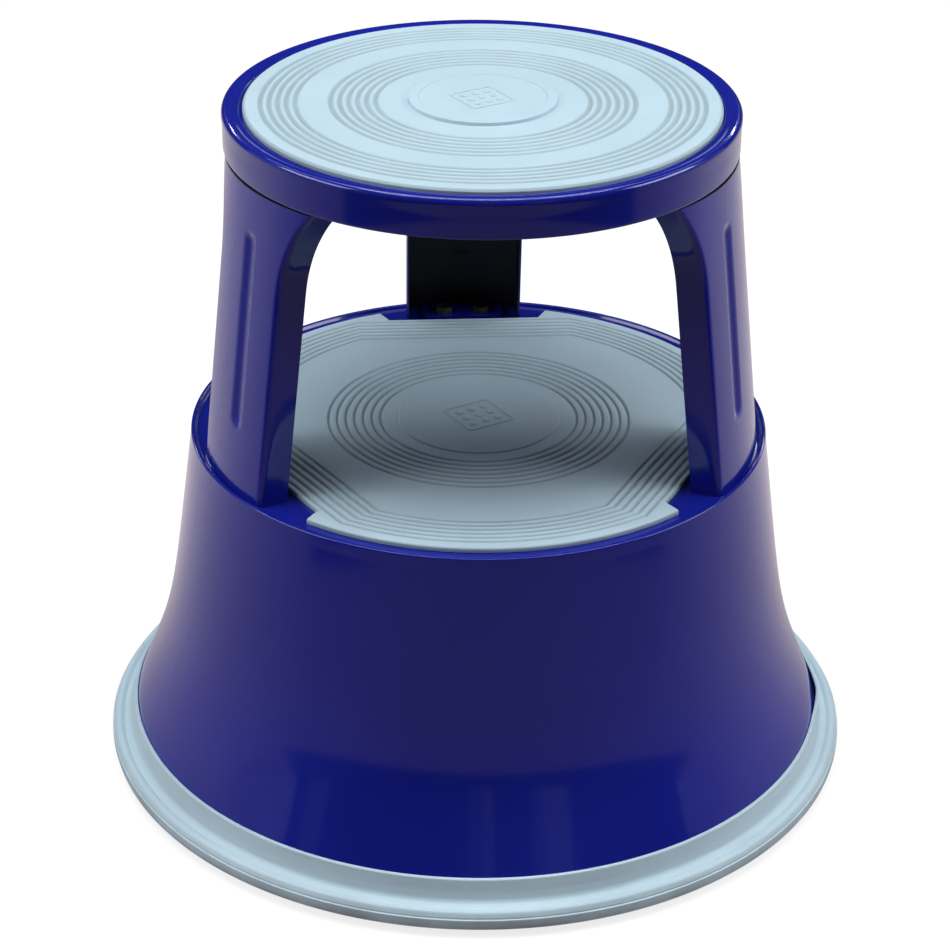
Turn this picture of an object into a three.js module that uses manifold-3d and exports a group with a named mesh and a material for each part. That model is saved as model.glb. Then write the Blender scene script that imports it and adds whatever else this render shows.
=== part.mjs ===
// Kick step stool: a round stool with two steps, a flared base drum and three hidden sprung castors.
// Millimetres, +Z up. The origin is on the floor under the centre, with the rear leg towards +Y.
// With nobody on it the stool stands on its castors; a load presses it down onto the bumper ring.

import * as THREE from 'three';
import { mergeVertices } from 'three/addons/utils/BufferGeometryUtils.js';
import Module from 'manifold-3d';

const wasm = await Module();
wasm.setup();

// ---- driving dimensions -------------------------------------------------------------------------

const GAP = 0.3; // space between touching pieces
const ROUND = 36; // facets round the large turned pieces
const TREAD = 24; // facets round the wheel treads
const FINE = 12; // facets round sockets, stems and hubs
const SMALL = 12; // facets round bolts and pins

const TOP = {
  radius: 147, // outside of the rolled rim
  crown: 412,
  floor: 409, // recess that the mat lies in
  well: 136.3, // radius of that recess
  skirtFoot: 388.9,
  sheet: 1,
};
const TOP_MAT = { radius: 135.8, top: 412.7, bossRadius: 42.6, bossHeight: 2.1, groove: 0.6 };
const TOP_MAT_BANDS = [[60.7, 86], [106, 125.5]];

const DRUM = { top: 210, radius: 171.4, taper: 0.135, flare: 19.7, flareHeight: 60.6, foot: 13, sheet: 1 };
const DRUM_BEAD = { inner: 168.2, crown: 169.8, height: 2.4, corner: 2.2 };

const STEP_MAT = { radius: 160.8, top: 213.2, notch: 140.9, notchHalf: 49.8, groove: 0.6 };
const STEP_MAT_TURNS = [0, 120, 240];
const STEP_MAT_BANDS = [[47.6, 49.4], [58.7, 89.5]];

const RING = { foot: 5, radius: 228, lip: 29.8, innerLip: 27, wall: 2.6, boreRadius: 204.5 };

const LEG = {
  foot: DRUM.top + GAP,
  top: 404,
  faceTop: 146.8, // radius of the leaning face at the lower edge of the top skirt
  lean: 0.114, // how fast that radius grows downwards
  curve: 1.13, // how much more the face bulges than the cone it lies on
  joggle: 386.5, // above this the face steps inwards
  tucked: 144.7, // radius of the part that fits behind the skirt
  half: 36.9, // half width at the theoretical corner
  corner: 4.5,
  flange: 17.9,
  flare: -1.3, // how far the flange spreads over its depth
  sheet: 1.2,
  archStart: 335,
  archRadius: 84,
};
const LEG_GROOVE = { low: 247, high: 366, half: 7, floorHalf: 3, depth: 2.2, ramp: 7 };
const LEG_TAB = { inner: 147, half: 26, thickness: 1.6 };
const LEG_NAMES = ['rear', 'left', 'right'];
const LEG_TURNS = [0, 117.4, 242.6]; // the two front legs stand a little further apart
const LEG_GROOVE_SHIFTS = [0, -7.9, 7.9]; // the front legs' grooves lie nearer the front

const BOLT = { radial: 155, side: 12, radius: 3, hole: 3.3, acrossFlats: 10, head: 4, nut: 5, end: 201 };

const CASTOR_NAMES = ['front', 'right', 'left'];
const CASTOR_TURNS = [180, 300, 60];
const CASTOR_RADIUS = 150; // from the stool's axis to each castor's swivel axis
const CASTOR_SWIVEL = [-90, 150, 30]; // which way each castor trails at rest
const BRACKET = { half: 34, inner: 116, shelf: 100, thickness: 2.5, drop: 14, rise: 22 };
const SOCKET = {
  low: 60,
  top: 126,
  radius: 13,
  bore: 10.6,
  cap: 3,
  capHole: 5.9,
  collar: 17,
  collarHeight: 3,
};
const STEM = {
  radius: 5.5,
  journal: 5,
  head: 8,
  shoulder: 9,
  seat: 10.2,
  top: 132,
  clipZ: 126.4,
  clipRadius: 8,
};
const SPRING = { radius: 8, wire: 1, turns: 5, stepsPerTurn: 8, low: 68.3, high: 121.7 };
const FORK = { crown: 44, thickness: 2.5, cheek: 2, gap: 10.5, trail: 16, hole: 5.3 };
const WHEEL = { radius: 20, half: 9, hub: 13, boss: 6, bossHalf: 10, bore: 3.3, axle: 3 };

// ---- materials ----------------------------------------------------------------------------------

const paint = { color: 0x2a2a86, roughness: 0.28, metalness: 0.1 };
const matGrey = { color: 0xb4cbd8, roughness: 0.7, metalness: 0 };
const ringGrey = { color: 0x8ea3ab, roughness: 0.5, metalness: 0 };
const zinc = { color: 0xb9bcc0, roughness: 0.35, metalness: 0.9 };
const spring = { color: 0x6d7176, roughness: 0.4, metalness: 0.9 };
const tyreGrey = { color: 0x6f7478, roughness: 0.65, metalness: 0 };
const hubPlastic = { color: 0x2c2e31, roughness: 0.45, metalness: 0 };

// ---- helpers ------------------------------------------------------------------------------------

const stool = new THREE.Group();

function add(name, geometry, look, turn = 0) {
  const mesh = new THREE.Mesh(geometry, new THREE.MeshStandardMaterial(look));
  mesh.name = name;
  mesh.rotation.z = THREE.MathUtils.degToRad(turn);
  stool.add(mesh);
  return mesh;
}

// Shared vertices merged, triangles that collapsed on the axis dropped, faces turned outwards.
function weld(geometry) {
  const bare = new THREE.BufferGeometry();
  bare.setAttribute('position', geometry.getAttribute('position').clone());
  bare.setIndex(geometry.getIndex());
  const merged = mergeVertices(bare, 1e-4);
  const position = merged.getAttribute('position');
  const source = merged.getIndex().array;
  const index = [];
  let volume = 0;
  const corners = [new THREE.Vector3(), new THREE.Vector3(), new THREE.Vector3()];
  for (let i = 0; i < source.length; i += 3) {
    const [a, b, c] = [source[i], source[i + 1], source[i + 2]];
    if (a === b || b === c || c === a) continue;
    index.push(a, b, c);
    [a, b, c].forEach((vertex, k) => corners[k].fromBufferAttribute(position, vertex));
    volume += corners[0].dot(corners[1].clone().cross(corners[2]));
  }
  if (volume < 0) index.reverse();
  const result = new THREE.BufferGeometry();
  result.setAttribute('position', position);
  result.setIndex(index);
  return result;
}

function toSolid(geometry) {
  const welded = weld(geometry);
  return new wasm.Manifold(new wasm.Mesh({
    numProp: 3,
    vertProperties: new Float32Array(welded.getAttribute('position').array),
    triVerts: new Uint32Array(welded.getIndex().array),
  }));
}

function fromSolid(solid) {
  const mesh = solid.getMesh();
  const geometry = new THREE.BufferGeometry();
  geometry.setAttribute('position', new THREE.BufferAttribute(mesh.vertProperties, 3));
  geometry.setIndex(new THREE.BufferAttribute(mesh.triVerts, 1));
  return geometry;
}

function join(first, ...others) {
  return others.reduce((solid, other) => solid.add(toSolid(other)), toSolid(first));
}

// A closed outline of [radius, height] pairs turned about the vertical axis.
// An outline that starts on the axis ends on it; any other closes on itself.
function turned(outline, facets = ROUND) {
  const points = outline.map(([r, z]) => new THREE.Vector2(r, z));
  if (points[0].x > 0) points.push(points[0].clone());
  return weld(new THREE.LatheGeometry(points, facets).rotateX(Math.PI / 2));
}

function arc(centreR, centreZ, radius, fromDegrees, toDegrees, steps) {
  return Array.from({ length: steps + 1 }, (_, i) => {
    const angle = THREE.MathUtils.degToRad(fromDegrees + ((toDegrees - fromDegrees) * i) / steps);
    return [centreR + radius * Math.cos(angle), centreZ + radius * Math.sin(angle)];
  });
}

function block(sizeX, sizeY, sizeZ, x, y, z) {
  return new THREE.BoxGeometry(sizeX, sizeY, sizeZ).translate(x, y, z);
}

function rod(radius, low, high, x = 0, y = 0, facets = SMALL) {
  return new THREE.CylinderGeometry(radius, radius, high - low, facets)
    .rotateX(Math.PI / 2)
    .translate(x, y, (low + high) / 2);
}

// ---- top step -----------------------------------------------------------------------------------

function topStepPan() {
  const { radius, crown, floor, well, skirtFoot, sheet } = TOP;
  const skirt = radius - 0.3;
  return turned([
    [0, floor],
    [well, floor],
    [radius - 5.6, crown - 0.7],
    [radius - 3.4, crown],
    [radius - 1.7, crown - 0.5],
    [radius - 0.5, crown - 1.7],
    [radius, crown - 3.4],
    [skirt, skirtFoot],
    [skirt - sheet, skirtFoot],
    [radius - sheet, crown - 3.6],
    [radius - 1.4, crown - 2.2],
    [radius - 2.2, crown - 1.4],
    [radius - 3.4, crown - 1.05],
    [radius - 5.3, crown - 1.85],
    [well + 0.2, floor - sheet],
    [0, floor - sheet],
  ]);
}

function recessed(bands, height, depth) {
  return bands.flatMap(([inner, outer]) => [
    [inner, height],
    [inner + depth, height - depth],
    [outer - depth, height - depth],
    [outer, height],
  ]);
}

function topMat() {
  const { radius, top, bossRadius, bossHeight, groove } = TOP_MAT;
  const underside = TOP.floor + GAP;
  return turned([
    [0, top + bossHeight],
    [bossRadius - 0.8, top + bossHeight],
    [bossRadius, top + bossHeight - 0.8],
    [bossRadius, top],
    ...recessed(TOP_MAT_BANDS, top, groove),
    [radius - 0.8, top],
    [radius, top - 0.8],
    [radius, underside],
    [0, underside],
  ]);
}

// ---- base drum ----------------------------------------------------------------------------------

function skirtRadius(height) {
  const bell = DRUM.flare * Math.exp(-((height / DRUM.flareHeight) ** 2));
  return DRUM.radius + DRUM.taper * (DRUM.top - height) + bell;
}

// The skirt's outline from one height to another, moved outwards by an offset.
function skirtLine(offset, from, to, steps) {
  return Array.from({ length: steps + 1 }, (_, i) => {
    const height = from + ((to - from) * i) / steps;
    return [skirtRadius(height) + offset, height];
  });
}

// The whole side of the skirt, with the same breaks inside the bumper ring as the ring's slot has.
function skirtSide(offset, top) {
  return [...skirtLine(offset, top, RING.lip, 8), ...skirtLine(offset, RING.lip, DRUM.foot, 2).slice(1)];
}

function drumHoles() {
  return LEG_TURNS.flatMap((turn) => [-1, 1].map((side) => rod(
    BOLT.hole,
    DRUM.top - 20,
    DRUM.top + 5,
    side * BOLT.side,
    BOLT.radial,
  ).rotateZ(THREE.MathUtils.degToRad(turn))));
}

function baseDrum() {
  const { inner, crown, height, corner } = DRUM_BEAD;
  const shell = turned([
    [0, DRUM.top],
    [inner, DRUM.top],
    [crown - 0.8, DRUM.top + height],
    ...arc(DRUM.radius - corner + 0.1, DRUM.top + height - corner, corner, 75, 0, 3),
    ...skirtSide(0, DRUM.top - 5),
    ...skirtSide(-DRUM.sheet, DRUM.top - 7).reverse(),
    [inner - 0.5, DRUM.top - DRUM.sheet],
    [0, DRUM.top - DRUM.sheet],
  ]);
  return fromSolid(drumHoles().reduce((solid, hole) => solid.subtract(toSolid(hole)), toSolid(shell)));
}

function stepMat() {
  const { radius, notch, notchHalf, top, groove } = STEP_MAT;
  const underside = DRUM.top + GAP;
  const mouth = Math.asin((notchHalf + 0.8) / radius);
  const outline = new THREE.Shape();
  STEP_MAT_TURNS.forEach((turn, i) => {
    const legAngle = Math.PI / 2 + THREE.MathUtils.degToRad(turn);
    const place = (tangent, radial) => new THREE.Vector2(tangent, radial)
      .rotateAround(new THREE.Vector2(), legAngle - Math.PI / 2);
    const first = place(notchHalf, notch);
    const last = place(-notchHalf, notch);
    if (i === 0) outline.moveTo(first.x, first.y);
    else outline.lineTo(first.x, first.y);
    outline.lineTo(last.x, last.y);
    outline.absarc(0, 0, radius, legAngle + mouth, legAngle + (Math.PI * 2) / 3 - mouth, false);
  });
  const sheet = new THREE.ExtrudeGeometry(outline, {
    depth: top - underside,
    bevelEnabled: false,
    curveSegments: 14,
  }).translate(0, 0, underside);
  const cut = STEP_MAT_BANDS.map(([inner, outer]) => turned([
    [inner, top + 1],
    [inner, top - groove],
    [outer, top - groove],
    [outer, top + 1],
  ]));
  return fromSolid(cut.reduce((solid, band) => solid.subtract(toSolid(band)), toSolid(sheet)));
}

function bumperRing() {
  const { foot, radius, lip, innerLip, wall, boreRadius } = RING;
  const slotFoot = DRUM.foot - GAP;
  const slotInner = skirtLine(-DRUM.sheet - GAP, innerLip, slotFoot, 2);
  const slotOuter = skirtLine(GAP, slotFoot, lip, 2);
  return turned([
    ...slotOuter,
    [skirtRadius(lip) + 1.7, lip],
    [radius - 13, 23.8],
    [radius - 11, 19.9],
    [radius - 8.4, 17.1],
    [radius - 5.8, 16.1],
    [radius - 4.2, 16.6],
    [radius - 2.4, 15.9],
    [radius - 0.9, 14.1],
    [radius - 0.1, 11.4],
    [radius, 8],
    [radius - 0.7, foot + 0.6],
    [radius - 2, foot],
    [boreRadius + 1, foot],
    [boreRadius, foot + 1],
    [skirtRadius(innerLip) - DRUM.sheet - GAP - wall, innerLip],
    ...slotInner,
  ]);
}

// ---- legs ---------------------------------------------------------------------------------------

function legFaceRadius(height) {
  return height > LEG.joggle ? LEG.tucked : LEG.faceTop + LEG.lean * (TOP.skirtFoot - height);
}

// How far the face is from the stool's axis, measured square to the leg, at some distance across it.
function legFaceRadial(across, height) {
  const radius = legFaceRadius(height);
  return radius - LEG.curve * (radius - Math.sqrt(radius ** 2 - across ** 2));
}

// Half width of the leg at its corner: straight, then spreading into the arch under the top step.
function legHalfWidth(height) {
  const rise = Math.min(Math.max(height - LEG.archStart, 0), TOP.skirtFoot - LEG.archStart);
  return LEG.half + LEG.archRadius - Math.sqrt(LEG.archRadius ** 2 - rise ** 2);
}

function grooveDepth(across, height) {
  const { low, high, half, floorHalf, depth, ramp } = LEG_GROOVE;
  const along = Math.min(height - low, high - height) / ramp;
  const sideways = (half - Math.abs(across)) / (half - floorHalf);
  return depth * THREE.MathUtils.clamp(along, 0, 1) * THREE.MathUtils.clamp(sideways, 0, 1);
}

// The outside of the leg's open channel at one height: x is across the leg, y is away from the axis.
function legOutside(height, shift) {
  const half = legHalfWidth(height);
  const corner = new THREE.Vector2(half, legFaceRadial(half, height));
  const alongFace = corner.clone().sub(new THREE.Vector2(half - 1, legFaceRadial(half - 1, height)));
  const alongFlange = new THREE.Vector2(LEG.flare, -LEG.flange).normalize();
  const faceEnd = corner.clone().addScaledVector(alongFace, -LEG.corner * 0.8);
  const bendEnd = corner.clone().addScaledVector(alongFlange, LEG.corner * 0.8);
  const flangeEnd = corner.clone().add(new THREE.Vector2(LEG.flare, -LEG.flange));
  const bend = new THREE.QuadraticBezierCurve(faceEnd, corner, bendEnd).getPoints(3);
  const { half: rim, floorHalf } = LEG_GROOVE;
  const faceX = [-faceEnd.x, (shift - rim - faceEnd.x) / 2, shift - rim, shift - floorHalf];
  faceX.push(shift, shift + floorHalf, shift + rim, (shift + rim + faceEnd.x) / 2, faceEnd.x);
  const face = faceX.map((x) => {
    const radial = legFaceRadial(x, height) - grooveDepth(x - shift, height);
    return new THREE.Vector2(x, radial);
  });
  const right = [...bend.slice(1), flangeEnd];
  const left = [...right].reverse().map((p) => new THREE.Vector2(-p.x, p.y));
  return [...left, ...face, ...right];
}

function inwards(points, distance) {
  return points.map((point, i) => {
    const before = points[Math.max(i - 1, 0)];
    const after = points[Math.min(i + 1, points.length - 1)];
    const along = after.clone().sub(before).normalize();
    return point.clone().add(new THREE.Vector2(along.y, -along.x).multiplyScalar(distance));
  });
}

// A closed body through equal loops of points, one loop at each height.
function loft(loops, heights) {
  const count = loops[0].length;
  const position = loops.flatMap((loop, level) => loop.flatMap((p) => [p.x, p.y, heights[level]]));
  const index = [];
  for (let level = 0; level < loops.length - 1; level += 1) {
    for (let i = 0; i < count; i += 1) {
      const next = (i + 1) % count;
      const [a, b] = [level * count + i, level * count + next];
      index.push(a, b, b + count, a, b + count, a + count);
    }
  }
  const lastLevel = (loops.length - 1) * count;
  THREE.ShapeUtils.triangulateShape(loops[0], []).forEach(([a, b, c]) => index.push(c, b, a));
  THREE.ShapeUtils.triangulateShape(loops[loops.length - 1], [])
    .forEach(([a, b, c]) => index.push(a + lastLevel, b + lastLevel, c + lastLevel));
  const geometry = new THREE.BufferGeometry();
  geometry.setAttribute('position', new THREE.Float32BufferAttribute(position, 3));
  geometry.setIndex(index);
  return geometry;
}

// The foot tab is folded in from the face and lies on the drum.
function legTab() {
  const { inner, half, thickness } = LEG_TAB;
  const joint = (across) => legFaceRadial(across, LEG.foot) - LEG.sheet / 2;
  const outline = new THREE.Shape();
  outline.moveTo(-half, inner);
  outline.lineTo(half, inner);
  outline.lineTo(half, joint(half));
  outline.quadraticCurveTo(0, 2 * joint(0) - joint(half), -half, joint(half));
  return new THREE.ExtrudeGeometry(outline, { depth: thickness, bevelEnabled: false, curveSegments: 6 })
    .translate(0, 0, LEG.foot);
}

function leg(shift) {
  const { low, high, ramp } = LEG_GROOVE;
  const archSteps = [0, 14, 26, 36, 45];
  const heights = [
    LEG.foot,
    low,
    low + ramp,
    300,
    ...archSteps.map((step) => LEG.archStart + step),
    high - ramp,
    high,
    LEG.joggle,
    TOP.skirtFoot - GAP,
    LEG.top,
  ].sort((a, b) => a - b);
  const loops = heights.map((height) => {
    const outside = legOutside(height, shift);
    return [...outside].reverse().concat(inwards(outside, LEG.sheet));
  });
  const body = join(loft(loops, heights), legTab());
  const holes = [-1, 1].map((side) => rod(
    BOLT.hole,
    LEG.foot - 5,
    LEG.foot + LEG_TAB.thickness + 5,
    side * BOLT.side,
    BOLT.radial,
  ));
  return fromSolid(holes.reduce((solid, hole) => solid.subtract(toSolid(hole)), body));
}

function hexagon(acrossFlats, low, high) {
  return rod(acrossFlats / Math.sqrt(3), low, high, 0, 0, 6);
}

function footBolt() {
  const seat = LEG.foot + LEG_TAB.thickness + GAP;
  const head = hexagon(BOLT.acrossFlats, seat, seat + BOLT.head);
  return fromSolid(join(head, rod(BOLT.radius, BOLT.end, seat + 1)));
}

function footNut() {
  const top = DRUM.top - DRUM.sheet - GAP;
  const body = toSolid(hexagon(BOLT.acrossFlats, top - BOLT.nut, top));
  return fromSolid(body.subtract(toSolid(rod(BOLT.hole, top - BOLT.nut - 1, top + 1))));
}

// ---- castors ------------------------------------------------------------------------------------

// A shelf with folded edges, trimmed to the inside of the skirt that it is welded to.
function castorBracket() {
  const { half, inner, shelf, thickness, drop, rise } = BRACKET;
  const reach = 200;
  const length = reach - inner;
  const middle = (reach + inner) / 2;
  const plate = block(half * 2, length, thickness, 0, middle, shelf + thickness / 2);
  const edges = [-1, 1].map((side) => block(
    thickness,
    length,
    drop + thickness / 2,
    side * (half - thickness / 2),
    middle,
    shelf - drop / 2 + thickness / 4,
  ));
  const weldBand = toSolid(turned([
    ...skirtLine(-DRUM.sheet - GAP, shelf + 0.5, shelf + rise, 3),
    ...skirtLine(-DRUM.sheet - GAP - thickness, shelf + rise, shelf + 0.5, 3),
  ])).intersect(toSolid(block(half * 2, 60, rise * 2, 0, 180, shelf + rise / 2)));
  const inside = turned([
    [0, shelf - drop - 5],
    ...skirtLine(-DRUM.sheet - GAP, shelf - drop - 5, shelf + rise + 5, 6),
    [0, shelf + rise + 5],
  ]);
  return fromSolid(join(plate, ...edges)
    .add(weldBand)
    .intersect(toSolid(inside))
    .subtract(toSolid(rod(SOCKET.radius + GAP, shelf - 5, shelf + 10, 0, CASTOR_RADIUS, FINE))));
}

function castorSocket() {
  const { low, top, radius, bore, cap, capHole, collar, collarHeight } = SOCKET;
  const seat = BRACKET.shelf + BRACKET.thickness + GAP;
  return turned([
    [bore, low],
    [radius, low],
    [radius, seat],
    [collar, seat],
    [collar, seat + collarHeight],
    [radius, seat + collarHeight],
    [radius, top],
    [capHole, top],
    [capHole, top - cap],
    [bore, top - cap],
  ], FINE);
}

function castorStem() {
  const { radius, journal, head, shoulder, seat, top, clipZ } = STEM;
  const crownTop = FORK.crown + FORK.thickness;
  return turned([
    [0, FORK.crown - 2.5],
    [head, FORK.crown - 2.5],
    [head, FORK.crown - GAP],
    [journal, FORK.crown - GAP],
    [journal, crownTop + GAP],
    [shoulder, crownTop + GAP],
    [shoulder, crownTop + 4],
    [radius, crownTop + 4],
    [radius, SPRING.low - 4.8],
    [seat, SPRING.low - 4.8],
    [seat, SPRING.low - 1.3],
    [radius, SPRING.low - 1.3],
    [radius, clipZ - 0.2],
    [radius - 1.1, clipZ - 0.2],
    [radius - 1.1, clipZ + 1.4],
    [radius, clipZ + 1.4],
    [radius, top - 1],
    [radius - 1, top],
    [0, top],
  ], FINE);
}

function castorSpring() {
  const { radius, wire, turns, stepsPerTurn, low, high } = SPRING;
  const steps = turns * stepsPerTurn;
  const points = Array.from({ length: steps + 1 }, (_, i) => {
    const angle = (i / stepsPerTurn) * Math.PI * 2;
    return new THREE.Vector3(
      radius * Math.cos(angle),
      radius * Math.sin(angle),
      low + ((high - low) * i) / steps,
    );
  });
  const section = new THREE.Shape();
  section.absarc(0, 0, wire, 0, Math.PI * 2, false);
  const path = new THREE.CatmullRomCurve3(points);
  return weld(new THREE.ExtrudeGeometry(section, { steps, curveSegments: 2, extrudePath: path }));
}

function castorClip() {
  const inner = STEM.radius - 0.8;
  const open = THREE.MathUtils.degToRad(35);
  const outline = new THREE.Shape();
  outline.absarc(0, 0, STEM.clipRadius, open, Math.PI * 2 - open, false);
  outline.absarc(0, 0, inner, Math.PI * 2 - open, open, true);
  return weld(new THREE.ExtrudeGeometry(outline, { depth: 1.2, bevelEnabled: false, curveSegments: 16 })
    .translate(0, 0, STEM.clipZ));
}

// The crown is centred on the swivel axis; the cheeks reach back along -X to the axle.
function castorFork() {
  const { crown, thickness, cheek, gap, trail, hole } = FORK;
  const top = crown + thickness;
  const outline = new THREE.Shape();
  outline.moveTo(-trail - 6, WHEEL.radius);
  outline.absarc(-trail, WHEEL.radius, 6, Math.PI, Math.PI * 1.85, false);
  outline.lineTo(12, crown - 3);
  outline.lineTo(12, top);
  outline.lineTo(-14, top);
  const cheeks = [-1, 1].map((side) => new THREE.ExtrudeGeometry(outline, {
    depth: cheek,
    bevelEnabled: false,
    curveSegments: 6,
  }).rotateX(Math.PI / 2).translate(0, side > 0 ? gap + cheek : -gap, 0));
  const plate = block(26, (gap + cheek) * 2, thickness, -1, 0, crown + thickness / 2);
  const axleHole = new THREE.CylinderGeometry(WHEEL.bore, WHEEL.bore, 40, SMALL)
    .translate(-trail, 0, WHEEL.radius);
  return fromSolid(join(plate, ...cheeks)
    .subtract(toSolid(rod(hole, crown - 5, top + 5, 0, 0, FINE)))
    .subtract(toSolid(axleHole)));
}

// Wheel pieces are turned about +Z and then laid on the axle line along Y.
function onAxle(geometry) {
  return geometry.rotateX(Math.PI / 2).translate(-FORK.trail, 0, WHEEL.radius);
}

function castorTyre() {
  const { radius, half, hub } = WHEEL;
  return onAxle(turned([
    [hub + GAP, -half],
    [radius - 2, -half],
    [radius, -half + 3],
    [radius, half - 3],
    [radius - 2, half],
    [hub + GAP, half],
  ], TREAD));
}

function castorHub() {
  const { half, hub, boss, bossHalf, bore } = WHEEL;
  return onAxle(turned([
    [bore, -bossHalf],
    [boss, -bossHalf],
    [boss, -4],
    [hub - 2, -4],
    [hub - 2, -half],
    [hub, -half],
    [hub, half],
    [hub - 2, half],
    [hub - 2, 4],
    [boss, 4],
    [boss, bossHalf],
    [bore, bossHalf],
  ], FINE));
}

function castorAxle() {
  const face = FORK.gap + FORK.cheek + GAP;
  return onAxle(turned([
    [0, -face - 1.6],
    [4.6, -face - 1.6],
    [4.6, -face],
    [WHEEL.axle, -face],
    [WHEEL.axle, face],
    [5, face],
    [5, face + 1],
    [3.6, face + 2],
    [0, face + 2],
  ], SMALL));
}

// ---- assembly -----------------------------------------------------------------------------------

add('top_step_pan', topStepPan(), paint);
add('top_mat', topMat(), matGrey);
add('base_drum', baseDrum(), paint);
add('step_mat', stepMat(), matGrey);
add('bumper_ring', bumperRing(), ringGrey);

LEG_NAMES.forEach((name, i) => {
  add(`leg_${name}`, leg(LEG_GROOVE_SHIFTS[i]), paint, LEG_TURNS[i]);
  [-1, 1].forEach((side, k) => {
    const turn = LEG_TURNS[i];
    const place = new THREE.Vector3(side * BOLT.side, BOLT.radial, 0)
      .applyAxisAngle(new THREE.Vector3(0, 0, 1), THREE.MathUtils.degToRad(turn));
    add(`foot_bolt_${name}_${k + 1}`, footBolt(), zinc, turn).position.copy(place);
    add(`foot_nut_${name}_${k + 1}`, footNut(), zinc, turn).position.copy(place);
  });
});

CASTOR_NAMES.forEach((name, i) => {
  const turn = CASTOR_TURNS[i];
  const centre = new THREE.Vector3(0, CASTOR_RADIUS, 0)
    .applyAxisAngle(new THREE.Vector3(0, 0, 1), THREE.MathUtils.degToRad(turn));
  add(`castor_bracket_${name}`, castorBracket(), zinc, turn);
  const fixed = { socket: [castorSocket(), zinc], spring: [castorSpring(), spring] };
  const plunging = { stem: [castorStem(), zinc], clip: [castorClip(), spring] };
  const swivelling = {
    fork: [castorFork(), zinc],
    axle: [castorAxle(), zinc],
    hub: [castorHub(), hubPlastic],
    tyre: [castorTyre(), tyreGrey],
  };
  Object.entries({ ...fixed, ...plunging }).forEach(([piece, [geometry, look]]) => {
    add(`castor_${piece}_${name}`, geometry, look, turn).position.copy(centre);
  });
  Object.entries(swivelling).forEach(([piece, [geometry, look]]) => {
    add(`castor_${piece}_${name}`, geometry, look, CASTOR_SWIVEL[i]).position.copy(centre);
  });
});

export default stool;
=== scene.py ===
"""Looks of the kick step stool: glossy blue steel, ribbed pale mats, a bumper ring and sprung castors.

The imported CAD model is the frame. Outlines below are in millimetres and are turned into metres when
a mesh is made. The origin is on the floor under the stool's axis, with the rear leg towards +Y.
"""

import math

import bpy
import bmesh
from mathutils import Matrix, Vector


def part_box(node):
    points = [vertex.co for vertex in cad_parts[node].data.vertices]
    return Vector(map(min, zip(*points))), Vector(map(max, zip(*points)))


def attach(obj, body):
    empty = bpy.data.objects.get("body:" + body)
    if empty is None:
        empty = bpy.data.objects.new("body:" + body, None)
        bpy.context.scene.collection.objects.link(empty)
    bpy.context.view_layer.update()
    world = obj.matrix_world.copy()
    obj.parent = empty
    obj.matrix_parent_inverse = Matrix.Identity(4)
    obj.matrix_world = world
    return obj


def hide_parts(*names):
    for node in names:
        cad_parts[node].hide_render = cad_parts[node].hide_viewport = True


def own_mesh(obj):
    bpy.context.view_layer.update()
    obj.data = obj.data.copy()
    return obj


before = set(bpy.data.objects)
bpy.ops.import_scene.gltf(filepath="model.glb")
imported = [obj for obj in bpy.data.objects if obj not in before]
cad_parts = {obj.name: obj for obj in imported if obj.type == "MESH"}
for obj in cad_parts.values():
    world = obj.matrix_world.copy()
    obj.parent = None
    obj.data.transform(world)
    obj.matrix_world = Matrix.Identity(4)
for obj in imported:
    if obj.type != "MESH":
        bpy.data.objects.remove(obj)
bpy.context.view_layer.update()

MM = 0.001
ROUND = 288  # steps round the large turned pieces
FINE = 48  # steps round the castor pieces
LEGS = ("rear", "left", "right")
CASTORS = ("front", "right", "left")


# ---- measures taken from the frame --------------------------------------------------------------

def box(node):
    """Lowest and highest corner of a CAD node in millimetres."""
    low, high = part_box(node)
    return low / MM, high / MM


def centre(node):
    low, high = box(node)
    return (low + high) / 2


# ---- mesh helpers -------------------------------------------------------------------------------

def make(name, points, faces, material, crease=35, shade_material=None, shaded=()):
    """A smooth-shaded object from points in millimetres, with edges sharper than crease kept sharp.
    The faces numbered in the last argument get the second material, the near-black painted shade."""
    mesh = bpy.data.meshes.new(name)
    mesh.from_pydata([Vector(p) * MM for p in points], [], faces)
    for number in shaded:
        mesh.polygons[number].material_index = 1
    tidy = bmesh.new()
    tidy.from_mesh(mesh)
    bmesh.ops.remove_doubles(tidy, verts=tidy.verts, dist=1e-7)
    bmesh.ops.recalc_face_normals(tidy, faces=tidy.faces)
    tidy.to_mesh(mesh)
    tidy.free()
    mesh.polygons.foreach_set("use_smooth", [True] * len(mesh.polygons))
    mesh.set_sharp_from_angle(angle=math.radians(crease))
    mesh.materials.append(material)
    if shade_material:
        mesh.materials.append(shade_material)
    made = bpy.data.objects.new(name, mesh)
    bpy.context.collection.objects.link(made)
    return made


def rounded(corners, steps=6):
    """An outline whose corners (radius, height, fillet) are rounded off by their fillets."""
    outline = []
    count = len(corners)
    for i, (x, z, fillet) in enumerate(corners):
        here = Vector((x, z))
        if fillet <= 0:
            outline.append(here)
            continue
        before = Vector(corners[i - 1][:2]) - here
        after = Vector(corners[(i + 1) % count][:2]) - here
        half = before.angle(after) / 2
        reach = min(fillet / math.tan(half), before.length * 0.49, after.length * 0.49)
        start = here + before.normalized() * reach
        end = here + after.normalized() * reach
        for k in range(steps + 1):
            t = k / steps
            outline.append(start * (1 - t) ** 2 + here * 2 * t * (1 - t) + end * t ** 2)
    return [tuple(p) for p in outline]


def arc(x, z, radius, start, end, steps):
    """Points along part of a circle, between two angles in degrees."""
    angles = [math.radians(start + (end - start) * i / steps) for i in range(steps + 1)]
    return [(x + radius * math.cos(a), z + radius * math.sin(a)) for a in angles]


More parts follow.
